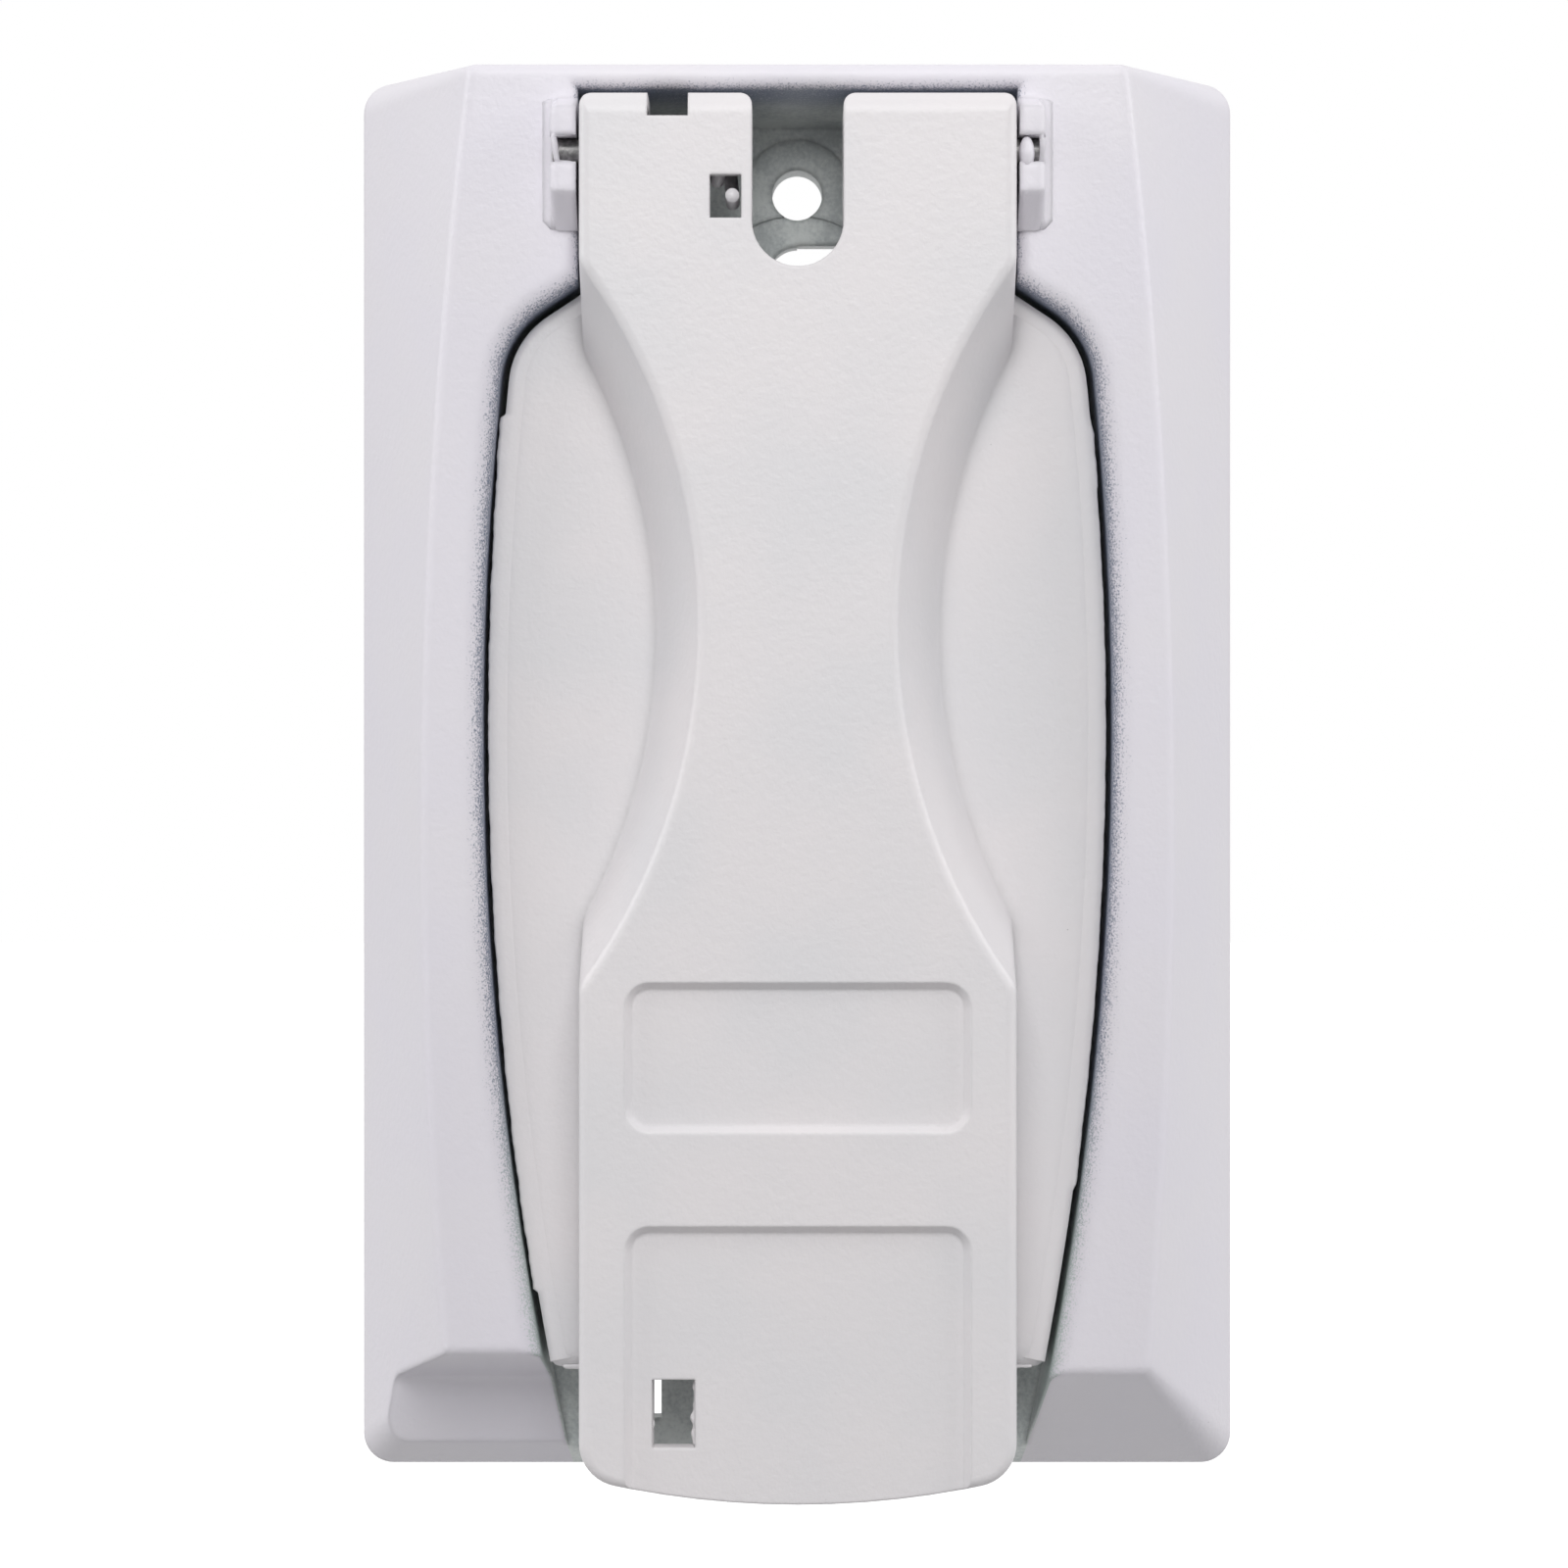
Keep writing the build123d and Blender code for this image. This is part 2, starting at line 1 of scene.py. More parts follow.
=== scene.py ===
# %% [markdown]
# A weatherproof flip cover is two white die-castings: a base frame that screws to a wall box,
# and a lid on a sprung hinge. The solids come finished from the construction model, so this
# lesson gives them their powder coat, bare metal and foam, adds the small flaws of a real
# casting as thin surfaces, and lights the whole like a catalogue picture.

# %% Load the construction model
import bpy
import numpy as np
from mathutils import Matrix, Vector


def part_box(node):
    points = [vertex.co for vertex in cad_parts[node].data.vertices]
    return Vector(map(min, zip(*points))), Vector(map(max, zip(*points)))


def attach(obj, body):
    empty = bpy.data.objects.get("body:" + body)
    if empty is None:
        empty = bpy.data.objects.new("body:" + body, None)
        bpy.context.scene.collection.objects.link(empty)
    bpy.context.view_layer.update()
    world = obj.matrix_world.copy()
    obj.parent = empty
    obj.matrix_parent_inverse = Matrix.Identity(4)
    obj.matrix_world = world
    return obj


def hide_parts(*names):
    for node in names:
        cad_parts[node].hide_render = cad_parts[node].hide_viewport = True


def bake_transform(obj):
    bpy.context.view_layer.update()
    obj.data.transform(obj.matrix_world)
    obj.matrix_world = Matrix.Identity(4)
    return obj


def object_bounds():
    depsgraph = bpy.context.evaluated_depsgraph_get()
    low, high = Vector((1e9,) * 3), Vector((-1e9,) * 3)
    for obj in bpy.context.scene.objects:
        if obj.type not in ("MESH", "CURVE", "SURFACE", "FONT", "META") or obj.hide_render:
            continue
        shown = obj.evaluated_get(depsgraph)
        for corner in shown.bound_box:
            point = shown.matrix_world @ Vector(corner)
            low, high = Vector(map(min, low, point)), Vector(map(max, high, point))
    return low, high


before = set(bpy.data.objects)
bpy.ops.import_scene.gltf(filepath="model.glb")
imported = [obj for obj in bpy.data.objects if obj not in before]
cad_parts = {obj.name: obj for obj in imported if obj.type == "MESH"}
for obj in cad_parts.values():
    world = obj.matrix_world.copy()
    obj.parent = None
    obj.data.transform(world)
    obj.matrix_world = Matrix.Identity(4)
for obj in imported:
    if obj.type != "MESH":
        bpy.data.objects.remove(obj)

MM = 0.001
cad_low, cad_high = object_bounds()
print("pieces:", sorted(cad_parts))
print("box in mm:", [round((b - a) / MM, 1) for a, b in zip(cad_low, cad_high)])

# %% [markdown]
# The cover hangs with its back on the plane Y = 0 and its front towards -Y, so a height off
# the wall is a distance along -Y. The origin is the middle of the back, and the middle of a
# pin's box gives the hinge line. Shaders measure in metres, so their values carry MM. The
# shapes are worked out in millimetres, and turned into metres when their mesh is made.

# %% Places on the cover
pin_low, pin_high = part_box("hinge_pin_left")
axis_y = (pin_low[1] + pin_high[1]) / 2
axis_z = (pin_low[2] + pin_high[2]) / 2
WING_FRONT = 16.4
print("hinge line at", round(-axis_y / MM, 2), "mm off the wall and", round(axis_z / MM, 2), "mm up")

# %% [markdown]
# A shader is a network of nodes. These helpers add a node, set its values and link it in one
# line, so that each finish below reads as a list of steps. Math nodes do the sums.

# %% Helpers that add nodes
def feed(tree, source, socket):
    """Links source into the socket, or sets the socket's value where source is a plain value."""
    if isinstance(source, bpy.types.NodeSocket):
        tree.links.new(source, socket)
    else:
        socket.default_value = source


def node(tree, kind, links=(), **values):
    """Adds a node. Values set its properties, and links are pairs of a source and an input."""
    made = tree.nodes.new(kind)
    for name, value in values.items():
        setattr(made, name, value)
    for source, target in links:
        feed(tree, source, made.inputs[target])
    return made


def calc(tree, operation, a, b=0.0, clamp=False):
    """One Math node: a (operation) b, with sockets or numbers for a and b."""
    made = node(tree, "ShaderNodeMath", [(a, 0), (b, 1)], operation=operation, use_clamp=clamp)
    return made.outputs[0]


def scaled(tree, value, factor, offset):
    """value * factor + offset"""
    return calc(tree, "ADD", calc(tree, "MULTIPLY", value, factor), offset)


def weighted(tree, a, part_a, b, part_b):
    """a * part_a + b * part_b"""
    return calc(tree, "ADD", calc(tree, "MULTIPLY", a, part_a), calc(tree, "MULTIPLY", b, part_b))


# %% [markdown]
# Three more helpers do what every finish needs: a soft change from one value to another, a
# change of colour, and noise of a known size. A noise node asks for the bumps in a metre, so
# the size is turned over.

# %% Helpers for patterns
def fade(tree, value, start, end):
    """A smooth step: 0 where value is at start and 1 where it is at end."""
    spread = node(
        tree,
        "ShaderNodeMapRange",
        [(value, "Value"), (start, "From Min"), (end, "From Max")],
        interpolation_type="SMOOTHSTEP",
    )
    return spread.outputs["Result"]


def blend_colour(tree, share, a, b):
    """Colour a where share is 0 and colour b where it is 1."""
    mix = node(tree, "ShaderNodeMix", [(share, "Factor")], data_type="RGBA")
    for source, name in ((a, "A"), (b, "B")):
        feed(tree, source, [s for s in mix.inputs if s.name == name and s.type == "RGBA"][0])
    return [s for s in mix.outputs if s.type == "RGBA"][0]


def noise(tree, place, size, detail=2.0):
    """Noise whose bumps are about size metres wide."""
    links = [(place, "Vector"), (1 / size, "Scale"), (detail, "Detail")]
    return node(tree, "ShaderNodeTexNoise", links).outputs["Fac"]


# %% [markdown]
# A node group is a network with named sockets of its own, built once and placed in every
# material that needs the effect, as a function is written once and called many times.

# %% A helper that starts a node group
COLOUR = "NodeSocketColor"
NUMBER = "NodeSocketFloat"
PLACE = "NodeSocketVector"


def shader_group(name, inputs, outputs):
    """An empty node group with named sockets: {name: (socket type, default value)}."""
    group = bpy.data.node_groups.new(name, "ShaderNodeTree")
    for title, (kind, value) in inputs.items():
        socket = group.interface.new_socket(title, in_out="INPUT", socket_type=kind)
        socket.default_value = value
    for title, kind in outputs.items():
        group.interface.new_socket(title, in_out="OUTPUT", socket_type=kind)
    source = group.nodes.new("NodeGroupInput")
    sink = group.nodes.new("NodeGroupOutput")
    return group, source.outputs, sink.inputs


# %% [markdown]
# Powder coat is sprayed dry and melted in an oven. It flows into a fine orange peel, drifts a
# little in tone, and carries a few dark specks of dust. The group gives all three: two sizes
# of noise for the peel, a slow noise for the tone, and the cells of a Voronoi texture for the
# specks, which show only where a cell's own random number is high.

# %% The powder coat group
GRAIN_SIZE = 0.22 * MM
DRIFT_SIZE = 14 * MM
SPECK_SPACING = 3.2 * MM
SPECK_RARITY = 0.62
SPECK_COVER = 0.55
DUST = (0.12, 0.11, 0.11, 1)

coat_group, coat_in, coat_out = shader_group(
    "powder coat",
    {
        "Place": (PLACE, (0, 0, 0)),
        "Coat": (COLOUR, (0.7, 0.7, 0.7, 1)),
        "Shade": (COLOUR, (0.65, 0.65, 0.68, 1)),
        "Peel Size": (NUMBER, 0.6 * MM),
        "Speck Size": (NUMBER, 0.07 * MM),
    },
    {"Color": COLOUR, "Height": NUMBER, "Roughness": NUMBER},
)
t = coat_group
spot = coat_in["Place"]
peel_scale = calc(t, "DIVIDE", 1.0, coat_in["Peel Size"])
peel = node(t, "ShaderNodeTexNoise", [(spot, "Vector"), (peel_scale, "Scale"), (1.5, "Detail")])
grain = noise(t, spot, GRAIN_SIZE)
drift = noise(t, spot, DRIFT_SIZE)
cells = node(t, "ShaderNodeTexVoronoi", [(spot, "Vector"), (1 / SPECK_SPACING, "Scale")])
cell_gap = calc(t, "MULTIPLY", cells.outputs["Distance"], SPECK_SPACING)
lot = node(t, "ShaderNodeSeparateColor", [(cells.outputs["Color"], "Color")]).outputs
speck = calc(t, "LESS_THAN", cell_gap, calc(t, "MULTIPLY", coat_in["Speck Size"], lot["Green"]))
speck = calc(t, "MULTIPLY", speck, calc(t, "GREATER_THAN", lot["Red"], SPECK_RARITY))
tone = blend_colour(t, fade(t, drift, 0.3, 0.7), coat_in["Coat"], coat_in["Shade"])
dusty = blend_colour(t, calc(t, "MULTIPLY", speck, SPECK_COVER), tone, DUST)
feed(t, dusty, coat_out["Color"])
feed(t, weighted(t, peel.outputs["Fac"], 0.75, grain, 0.25), coat_out["Height"])
feed(t, scaled(t, grain, 0.12, 0.36), coat_out["Roughness"])
print("powder coat group:", len(t.nodes), "nodes")

# %% [markdown]
# The spray hardly reaches into the pocket that the lid closes into. The coat gets thin over
# the rounded mouth, and leaves bare cast metal on the floor. Over the mouth a dark, bluish,
# speckled colour paints the thin coat together with the shade in the gap beside the lid. So the
# base's finish has to know how deep a point lies under the raised face, and whether it lies
# inside the pocket's outline. A bulging side is nearly a parabola, with
# X = widest - (Z - middle)^2 / bow, and a slanting line shuts it off at the shoulder. The
# rounded mouth is wider than that by radius - sqrt(radius^2 - (radius - depth)^2).

# %% Shape of the pocket
PLATEAU = 18.75 * MM
PLATEAU_RISE = 0.0236
PLATEAU_MIDDLE = 4.25 * MM
WING_MOUTH = 1.6 * MM
HOOD_MOUTH = 0.9 * MM
BAY_WIDEST = 25.6 * MM
BAY_MIDDLE = 3.5 * MM
BAY_BOW = 0.547
SHOULDER_OUT = (0.553, 0.833)
SHOULDER_REACH = 42.8 * MM
HINGE_BAY_HALF = 17.75 * MM
HINGE_BAY_TOP = 55.3 * MM
HINGE_BAY_FOOT = 30 * MM
MASK_SPARE = 0.15 * MM


def widening(tree, radius, depth):
    """How much wider a rounded mouth is at this depth than the bay below it."""
    rest = calc(tree, "DIVIDE", calc(tree, "SUBTRACT", radius, depth), radius, clamp=True)
    height = calc(tree, "SQRT", calc(tree, "SUBTRACT", 1.0, calc(tree, "MULTIPLY", rest, rest)))
    return calc(tree, "MULTIPLY", calc(tree, "SUBTRACT", 1.0, height), radius)


print("the pocket is", 2 * BAY_WIDEST / MM, "mm wide, and its hinge bay", 2 * HINGE_BAY_HALF / MM)

# %% [markdown]
# The group works out the distance to each wall, counted as positive inside. The least of such
# distances tells what is inside all the walls, and the greatest what is inside one bay or the
# other.

# %% The pocket depth group
pocket_group, pocket_in, pocket_out = shader_group(
    "pocket depth",
    {
        "Place": (PLACE, (0, 0, 0)),
        "Wing Mouth": (NUMBER, WING_MOUTH),
        "Hood Mouth": (NUMBER, HOOD_MOUTH),
    },
    {"Depth": NUMBER, "Inside": NUMBER},
)
t = pocket_group
xyz = node(t, "ShaderNodeSeparateXYZ", [(pocket_in["Place"], "Vector")]).outputs
face = scaled(t, calc(t, "SUBTRACT", xyz["Z"], PLATEAU_MIDDLE), PLATEAU_RISE, PLATEAU)
depth = calc(t, "ADD", face, xyz["Y"])

side = calc(t, "ABSOLUTE", xyz["X"])
from_middle = calc(t, "SUBTRACT", xyz["Z"], BAY_MIDDLE)
bow = calc(t, "DIVIDE", calc(t, "MULTIPLY", from_middle, from_middle), BAY_BOW)
wing_bay = calc(t, "SUBTRACT", calc(t, "SUBTRACT", BAY_WIDEST, bow), side)
slant = weighted(t, side, SHOULDER_OUT[0], xyz["Z"], SHOULDER_OUT[1])
wing_bay = calc(t, "MINIMUM", wing_bay, calc(t, "SUBTRACT", SHOULDER_REACH, slant))
wing_bay = calc(t, "ADD", wing_bay, widening(t, pocket_in["Wing Mouth"], depth))

hinge_bay = calc(t, "SUBTRACT", HINGE_BAY_HALF, side)
hinge_bay = calc(t, "MINIMUM", hinge_bay, calc(t, "SUBTRACT", HINGE_BAY_TOP, xyz["Z"]))
hinge_bay = calc(t, "MINIMUM", hinge_bay, calc(t, "SUBTRACT", xyz["Z"], HINGE_BAY_FOOT))
hinge_bay = calc(t, "ADD", hinge_bay, widening(t, pocket_in["Hood Mouth"], depth))

within = calc(t, "ADD", calc(t, "MAXIMUM", wing_bay, hinge_bay), MASK_SPARE)
feed(t, depth, pocket_out["Depth"])
feed(t, calc(t, "GREATER_THAN", within, 0.0), pocket_out["Inside"])
print("pocket depth group:", len(t.nodes), "nodes")

# %% [markdown]
# Bare die-cast metal is darker and greyer than the paint, with cloudy flow marks and fine
# scratches. Three noises, one of them drawn out along the hinge line, give the tone and the
# relief. The tone also sets the roughness, so that dark patches are the smoother ones.

# %% The cast metal group
CLOUD_SIZE = 3.5 * MM
PIT_SIZE = 0.35 * MM
MARK_SIZE = 0.3 * MM
MARK_STRETCH = (0.2, 1.0, 1.0)

metal_group, metal_in, metal_out = shader_group(
    "cast metal",
    {
        "Place": (PLACE, (0, 0, 0)),
        "Light": (COLOUR, (0.72, 0.76, 0.74, 1)),
        "Dark": (COLOUR, (0.49, 0.53, 0.53, 1)),
    },
    {"Color": COLOUR, "Height": NUMBER, "Roughness": NUMBER},
)
t = metal_group
spot = metal_in["Place"]
cloud = noise(t, spot, CLOUD_SIZE, 5.0)
pits = noise(t, spot, PIT_SIZE, 3.0)
drawn = node(t, "ShaderNodeMapping", [(spot, "Vector"), (MARK_STRETCH, "Scale")])
marks = noise(t, drawn.outputs["Vector"], MARK_SIZE, 3.0)
mottle = weighted(t, cloud, 0.6, pits, 0.4)
mottled = blend_colour(t, fade(t, mottle, 0.36, 0.64), metal_in["Dark"], metal_in["Light"])
feed(t, mottled, metal_out["Color"])
feed(t, weighted(t, pits, 0.6, marks, 0.4), metal_out["Height"])
feed(t, scaled(t, mottle, 0.3, 0.3), metal_out["Roughness"])
print("cast metal group:", len(t.nodes), "nodes")

# %% [markdown]
# Each material starts the same way: an empty network, object coordinates, a Principled shader
# and a Bump node that turns a height into a tilt of the surface. Object coordinates stay with
# the piece when the lid swings, so no pattern slides.

# %% Helpers that build a material
def start_material(name, bump_depth, roughness=0.4, soft_edge=0.0):
    """A material with object coordinates, a Principled shader and a Bump node of that depth."""
    material = bpy.data.materials.new(name)
    material.use_nodes = True
    tree = material.node_tree
    tree.nodes.clear()
    place = node(tree, "ShaderNodeTexCoord").outputs["Object"]
    bump = node(tree, "ShaderNodeBump", [(bump_depth, "Distance"), (1.0, "Strength")])
    if soft_edge:
        bevel = node(tree, "ShaderNodeBevel", [(soft_edge, "Radius")], samples=6)
        feed(tree, bevel.outputs["Normal"], bump.inputs["Normal"])
    links = [(bump.outputs["Normal"], "Normal"), (roughness, "Roughness")]
    surface = node(tree, "ShaderNodeBsdfPrincipled", links)
    node(tree, "ShaderNodeOutputMaterial", [(surface.outputs["BSDF"], "Surface")])
    return material, tree, place, surface, bump


def place_group(tree, group, place, **values):
    """Puts a node group into a material, fed by the place, with its own values."""
    made = tree.nodes.new("ShaderNodeGroup")
    made.node_tree = group
    feed(tree, place, made.inputs["Place"])
    for name, value in values.items():
        made.inputs[name.replace("_", " ")].default_value = value
    return made.outputs


def wear(tree, finish, surface, bump, colour=None):
    """Links a group's colour, or another one, its roughness and its height to the shader."""
    feed(tree, finish["Color"] if colour is None else colour, surface.inputs["Base Color"])
    feed(tree, finish["Roughness"], surface.inputs["Roughness"])
    feed(tree, finish["Height"], bump.inputs["Height"])


# %% [markdown]
# The lid hangs free while it is sprayed, so it wears the full coat on both sides. A Bevel node
# rounds the normals over a third of a millimetre, as a melted coat rounds every edge, and over
# more near the front of the wing, whose edge is softer.

# %% The lid's coat
COAT = (0.715, 0.69, 0.70, 1)
COAT_SHADE = (0.68, 0.67, 0.685, 1)
PEEL_DEPTH = 0.045 * MM
LID_EDGE = 0.35 * MM
WING_EDGE_EXTRA = 1.9 * MM
WING_EDGE_NEAR = 0.4 * MM
WING_EDGE_FAR = 2.2 * MM

lid_coat, tree, place, surface, bump = start_material("lid_powder_coat", PEEL_DEPTH, soft_edge=LID_EDGE)
off_wall = node(tree, "ShaderNodeSeparateXYZ", [(place, "Vector")]).outputs["Y"]
off_wing = calc(tree, "ABSOLUTE", calc(tree, "ADD", off_wall, WING_FRONT * MM))
on_wing = fade(tree, off_wing, WING_EDGE_FAR, WING_EDGE_NEAR)
edge_softener = [n for n in tree.nodes if n.bl_idname == "ShaderNodeBevel"][0]
feed(tree, scaled(tree, on_wing, WING_EDGE_EXTRA, LID_EDGE), edge_softener.inputs["Radius"])
coat = place_group(tree, coat_group, place, Coat=COAT, Shade=COAT_SHADE)
wear(tree, coat, surface, bump)
print("the lid's coat has", len(tree.nodes), "nodes")

# %% [markdown]
# The flash round the lid wears the same coat without the Bevel node. A lip of flash is thinner
# than the rounding, so the node would blur its two sides into one band.

# %% The coat on the flash
flash_coat, tree, place, surface, bump = start_material("flash_powder_coat", PEEL_DEPTH)
coat = place_group(tree, coat_group, place, Coat=COAT, Shade=COAT_SHADE)
wear(tree, coat, surface, bump)
print("the flash's coat has", len(tree.nodes), "nodes")

# %% [markdown]
# The base takes the same coat, a thin one over the pocket's mouth in a dark bluish colour that
# also paints the shade in the gap, and bare metal below. A fine noise decides where the thin coat
# breaks up, which gives the speckled edge. Near the cover's foot that colour is painted paler and
# greener, as painted bounce light.

# %% Tones and depths of the base's coat
FACE_COAT = (0.725, 0.705, 0.745, 1)
FACE_SHADE = (0.715, 0.695, 0.75, 1)
# The thin coat's colour is painted shade as well: one dark bluish colour for the thin coat and the shade
# in the gap beside the lid.
THIN_COAT_AND_SHADE = (0.17, 0.20, 0.27, 1)
# The foot's colour is painted bounce light: paler and greener than the film higher up.
FOOT_COAT_AND_BOUNCE = (0.45, 0.53, 0.50, 1)
BASE_EDGE = 0.85 * MM
GRIT_SIZE = 0.16 * MM
GRIT_IN_COAT = 1.6
GRIT_IN_METAL = 2.0 * MM
BARE_FROM = 3.0 * MM
BARE_TO = 9.0 * MM
# Heights between which the film turns from painted bounce light at the foot to painted shade above.
BOUNCE_FULL_BELOW = -46 * MM
BOUNCE_GONE_ABOVE = -18 * MM
print("the metal is bare from", BARE_FROM / MM, "to", BARE_TO / MM, "mm deep")

# %% [markdown]
# The finish is built from the outside in: the full coat, over it the thin film with its painted
# shade where the depth and the grit say so, and over both the metal. The pocket group's mask
# keeps the last two off the outside of the cover.

# %% The base's coat
base_coat, tree, place, surface, bump = start_material(
    "base_powder_coat", PEEL_DEPTH, soft_edge=BASE_EDGE
)
coat = place_group(tree, coat_group, place, Coat=FACE_COAT, Shade=FACE_SHADE)
metal = place_group(tree, metal_group, place)
pocket = place_group(tree, pocket_group, place)
grit = calc(tree, "SUBTRACT", noise(tree, place, GRIT_SIZE, 1.0), 0.5)
way_in = calc(tree, "SQRT", calc(tree, "DIVIDE", pocket["Depth"], WING_MOUTH, clamp=True))
speckled = calc(tree, "ADD", way_in, calc(tree, "MULTIPLY", grit, GRIT_IN_COAT))
# The mask where the thin coat and its painted shade cover the pocket's mouth.
thin_and_shaded = calc(tree, "MULTIPLY", fade(tree, speckled, 0.3, 1.0), pocket["Inside"])
patchy = calc(tree, "ADD", pocket["Depth"], calc(tree, "MULTIPLY", grit, GRIT_IN_METAL))
bare = calc(tree, "MULTIPLY", fade(tree, patchy, BARE_FROM, BARE_TO), pocket["Inside"])
up_the_cover = node(tree, "ShaderNodeSeparateXYZ", [(place, "Vector")]).outputs["Z"]
# The film's colour: painted bounce light, paler and greener, at the foot, and the dark bluish painted
# shade higher up.
film_shade_and_bounce = blend_colour(tree, fade(tree, up_the_cover, BOUNCE_FULL_BELOW, BOUNCE_GONE_ABOVE), FOOT_COAT_AND_BOUNCE, THIN_COAT_AND_SHADE)
coat_and_shade = blend_colour(tree, thin_and_shaded, coat["Color"], film_shade_and_bounce)
wear(tree, coat, surface, bump, colour=blend_colour(tree, bare, coat_and_shade, metal["Color"]))
print("the base's coat has", len(tree.nodes), "nodes")

# %% [markdown]
# The pins are drawn wire, so they take the cast metal's group in darker tones and are mostly
# metallic. The spring is bright round wire that took a dusting of the coat, so it takes the
# coat's group, with a finer peel.

# %% Pin and spring
PIN_LIGHT = (0.34, 0.33, 0.33, 1)
PIN_DARK = (0.12, 0.12, 0.12, 1)
DUSTED = (0.74, 0.72, 0.74, 1)
DUSTED_SHADE = (0.62, 0.61, 0.63, 1)

pin_steel, tree, place, surface, bump = start_material("drawn_pin_steel", 0.02 * MM)
steel = place_group(tree, metal_group, place, Light=PIN_LIGHT, Dark=PIN_DARK)
wear(tree, steel, surface, bump)
surface.inputs["Metallic"].default_value = 0.8
print("the pins' steel has", len(tree.nodes), "nodes")

spring_wire, tree, place, surface, bump = start_material("spring_wire", 0.01 * MM)
dusted = place_group(tree, coat_group, place, Coat=DUSTED, Shade=DUSTED_SHADE, Peel_Size=0.3 * MM)
wear(tree, dusted, surface, bump)
print("the spring's wire has", len(tree.nodes), "nodes")

# %% [markdown]
# The gasket is dark closed-cell foam. The cells of a Voronoi texture, half a millimetre wide,
# give both its tone and its relief: pale and low in the middle of a cell, dark and high at its
# wall.

# %% Foam
BUBBLE_SIZE = 0.5 * MM
FOAM_PALE = (0.045, 0.045, 0.05, 1)
FOAM_DARK = (0.014, 0.014, 0.016, 1)

foam, tree, place, surface, bump = start_material("gasket_foam", 0.12 * MM, 0.9)
bubbles = node(tree, "ShaderNodeTexVoronoi", [(place, "Vector"), (1 / BUBBLE_SIZE, "Scale")])
from_centre = bubbles.outputs["Distance"]
feed(tree, blend_colour(tree, from_centre, FOAM_PALE, FOAM_DARK), surface.inputs["Base Color"])
feed(tree, from_centre, bump.inputs["Height"])
print("the foam has", len(tree.nodes), "nodes")

# %% [markdown]
# Liquid metal creeps into the joint of a die and freezes there as thin, ragged flash, and the
# coat piles up in lips at sharp openings. Each is modelled as a closed skin: one section is
# carried along a path, and rows of points times columns of points make one grid of faces.
# The signed volume under the skin tells whether its faces look outwards.

# %% A closed skin from a grid of points
def sixfold_volume(a, b, c):
    """Six times the volume between triangles and the origin: the sum of (a x b) . c."""
    return (np.cross(a, b) * c).sum()


def skin(name, grid, material, body):
    """Faces between neighbours on a grid in millimetres, closed round each row and capped at
    both ends: the point at (row, column) has the number row * columns + column."""
    rows, around, _ = grid.shape
    row, column = np.meshgrid(np.arange(rows - 1), np.arange(around), indexing="ij")
    here = row * around + column
    after = row * around + (column + 1) % around
    quads = np.stack([here, after, after + around, here + around], axis=-1).reshape(-1, 4)
    points = grid.reshape(-1, 3) * MM
    first = np.arange(around)[::-1]
    last = (rows - 1) * around + np.arange(around)

    a, b, c, d = (points[quads[:, k]] for k in range(4))
    sixfold = sixfold_volume(a, b, c) + sixfold_volume(a, c, d)
    for cap in (first, last):
        middle = points[cap].mean(axis=0)
        sixfold += sixfold_volume(points[cap], points[np.roll(cap, -1)], middle)

    mesh = bpy.data.meshes.new(name)
    mesh.from_pydata(points.tolist(), [], quads.tolist() + [first.tolist(), last.tolist()])
    if sixfold < 0:
        mesh.flip_normals()
    mesh.shade_smooth()
    mesh.materials.append(material)
    piece = bpy.data.objects.new(name, mesh)
    bpy.context.collection.objects.link(piece)
    if body:
        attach(piece, body)
    print(name, "has", len(mesh.polygons), "faces and holds", round(abs(sixfold) / 6 / MM**3, 2), "mm3")
    return piece


# %% [markdown]
# The wing's edge is one wide arc, a small arc round the shoulder, and a straight run to the
# spine. The small arc touches both neighbours: its centre is its radius away from the straight
# run, and the wide radius less its own away from the wide arc's centre. A quadratic gives it,
# and its lesser root is the one at the wing's shoulder.

# %% The arcs of the wing's edge
FOOT_POINT = np.array([20.0, -48.4])
SIDE_POINT = np.array([24.95, 1.0])
SHOULDER_POINT = np.array([23.1, 35.3])
NECK_POINT = np.array([13.0, 42.0])
SHOULDER_RADIUS = 7.0
RUN_LENGTH = 6.5


def circle_through(a, b, c):
    """The centre of the circle through three points: where two perpendicular bisectors meet."""
    sides = 2 * np.array([b - a, c - a])
    return np.linalg.solve(sides, [b @ b - a @ a, c @ c - a @ a])


side_middle = circle_through(FOOT_POINT, SIDE_POINT, SHOULDER_POINT)
side_radius = np.linalg.norm(SIDE_POINT - side_middle)
run_way = (NECK_POINT - SHOULDER_POINT) / np.linalg.norm(NECK_POINT - SHOULDER_POINT)
run_out = np.array([run_way[1], -run_way[0]])
near = SHOULDER_POINT - run_out * SHOULDER_RADIUS - side_middle
half_b = run_way @ near
root = -half_b - np.sqrt(half_b**2 - near @ near + (side_radius - SHOULDER_RADIUS) ** 2)
round_middle = side_middle + near + run_way * root
print("wide arc of radius", side_radius.round(1), "mm, shoulder arc centred at", round_middle.round(2))

# %% [markdown]
# A path is easiest to use when it takes one number, from 0 at its start to 1 at its end. The
# lengths of the three parts tell which of them a point is on.

